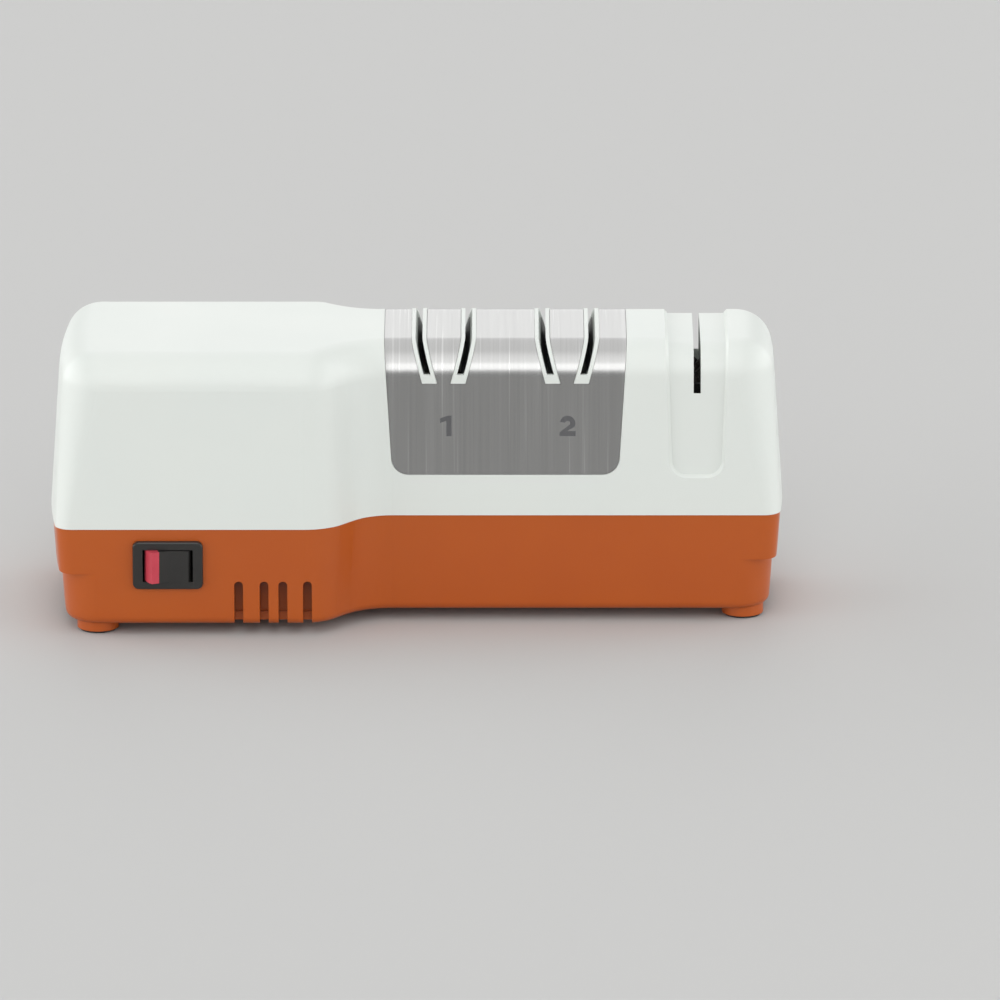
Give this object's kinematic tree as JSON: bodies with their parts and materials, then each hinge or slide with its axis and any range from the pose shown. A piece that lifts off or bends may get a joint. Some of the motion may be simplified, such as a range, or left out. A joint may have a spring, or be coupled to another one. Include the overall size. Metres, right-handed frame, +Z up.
{
  "type": "bench knife sharpener",
  "caption": "Bench knife sharpener with a rocker switch, slanted knife slots in a brushed steel faceplate and a hand stage slot.",
  "frame": {"origin": "on the table under the middle of the part", "axes": "+X along the length to the hand stage, +Y to the rear, +Z up"},
  "size_m": [0.258, 0.0975, 0.1009],
  "materials": {
    "white_plastic": "glossy white moulding",
    "orange_plastic": "satin burnt orange moulding",
    "pad_rubber": "black rubber",
    "brushed_plate": "stainless steel brushed up and down",
    "black_plastic": "black moulding",
    "red_strip": "red inlay",
    "core_steel": "stacked steel plates",
    "coil_winding": "enamelled winding",
    "bracket_alloy": "cast alloy",
    "bush_bronze": "sintered bronze",
    "bright_steel": "bright steel",
    "abrasive": "abrasive grit on steel"
  },
  "bodies": {
    "sharpener_body": {"base": "orange_plastic", "foot_pads": "pad_rubber", "upper_housing": "white_plastic", "faceplate": "brushed_plate", "cap_block_left": "white_plastic", "cap_wedge_1": "white_plastic", "cap_block_middle": "white_plastic", "cap_wedge_2": "white_plastic", "cap_block_right": "white_plastic", "guide_block_left": "black_plastic", "guide_wedge_1": "black_plastic", "guide_block_middle": "black_plastic", "guide_wedge_2": "black_plastic", "guide_block_right": "black_plastic", "hand_cheek_left": "white_plastic", "hand_cheek_right": "white_plastic", "switch_body": "black_plastic", "motor_core": "core_steel", "motor_coil": "coil_winding", "motor_bracket_left": "bracket_alloy", "motor_bracket_right": "bracket_alloy", "motor_bushes": "bush_bronze", "motor_screws": "bright_steel", "bearing_post": "bracket_alloy", "end_bush": "bush_bronze", "hand_carrier": "black_plastic", "hand_axles": "bright_steel", "housing_screws": "bright_steel", "cord_gland": "black_plastic"},
    "rocker_body": {"rocker": "black_plastic", "rocker_strip": "red_strip"},
    "shaft_group": {"shaft": "bright_steel", "rotor": "core_steel", "fan": "black_plastic", "stop_pins": "bright_steel", "disc_spring_1": "bright_steel", "disc_spring_2": "bright_steel"},
    "disc_1_left_body": {"disc_1_left": "abrasive"},
    "disc_1_right_body": {"disc_1_right": "abrasive"},
    "disc_2_left_body": {"disc_2_left": "abrasive"},
    "disc_2_right_body": {"disc_2_right": "abrasive"},
    "hand_wheels_left_body": {"hand_wheels_left": "abrasive"},
    "hand_wheels_right_body": {"hand_wheels_right": "abrasive"}
  },
  "joints": [
    {"name": "power_rocker", "type": "hinge", "parent": "sharpener_body", "child": "rocker_body", "pos_m": [-0.087, -0.0428, 0.02714], "axis": [0, 0.0698, -0.9976], "range_deg": [0, 20]},
    {"name": "shaft_spin", "type": "hinge", "parent": "sharpener_body", "child": "shaft_group", "pos_m": [0, 0.004, 0.06774], "axis": [1, 0, 0], "continuous": true},
    {"name": "disc_1_left_slide", "type": "slide", "parent": "shaft_group", "child": "disc_1_left_body", "axis": [1, 0, 0], "range_m": [0, 0.0018], "stiffness_N_per_m": 1500, "springref_m": -0.003, "deforming": ["disc_spring_1"]},
    {"name": "disc_1_right_slide", "type": "slide", "parent": "shaft_group", "child": "disc_1_right_body", "axis": [-1, 0, 0], "range_m": [0, 0.0018], "stiffness_N_per_m": 1500, "springref_m": -0.003, "deforming": ["disc_spring_1"]},
    {"name": "disc_2_left_slide", "type": "slide", "parent": "shaft_group", "child": "disc_2_left_body", "axis": [1, 0, 0], "range_m": [0, 0.0018], "stiffness_N_per_m": 1500, "springref_m": -0.003, "deforming": ["disc_spring_2"]},
    {"name": "disc_2_right_slide", "type": "slide", "parent": "shaft_group", "child": "disc_2_right_body", "axis": [-1, 0, 0], "range_m": [0, 0.0018], "stiffness_N_per_m": 1500, "springref_m": -0.003, "deforming": ["disc_spring_2"]},
    {"name": "hand_wheels_left_spin", "type": "hinge", "parent": "sharpener_body", "child": "hand_wheels_left_body", "pos_m": [0.0927, 0.004, 0.07935], "axis": [0, 1, 0], "continuous": true},
    {"name": "hand_wheels_right_spin", "type": "hinge", "parent": "sharpener_body", "child": "hand_wheels_right_body", "pos_m": [0.1041, 0.004, 0.07935], "axis": [0, 1, 0], "continuous": true}
  ]
}
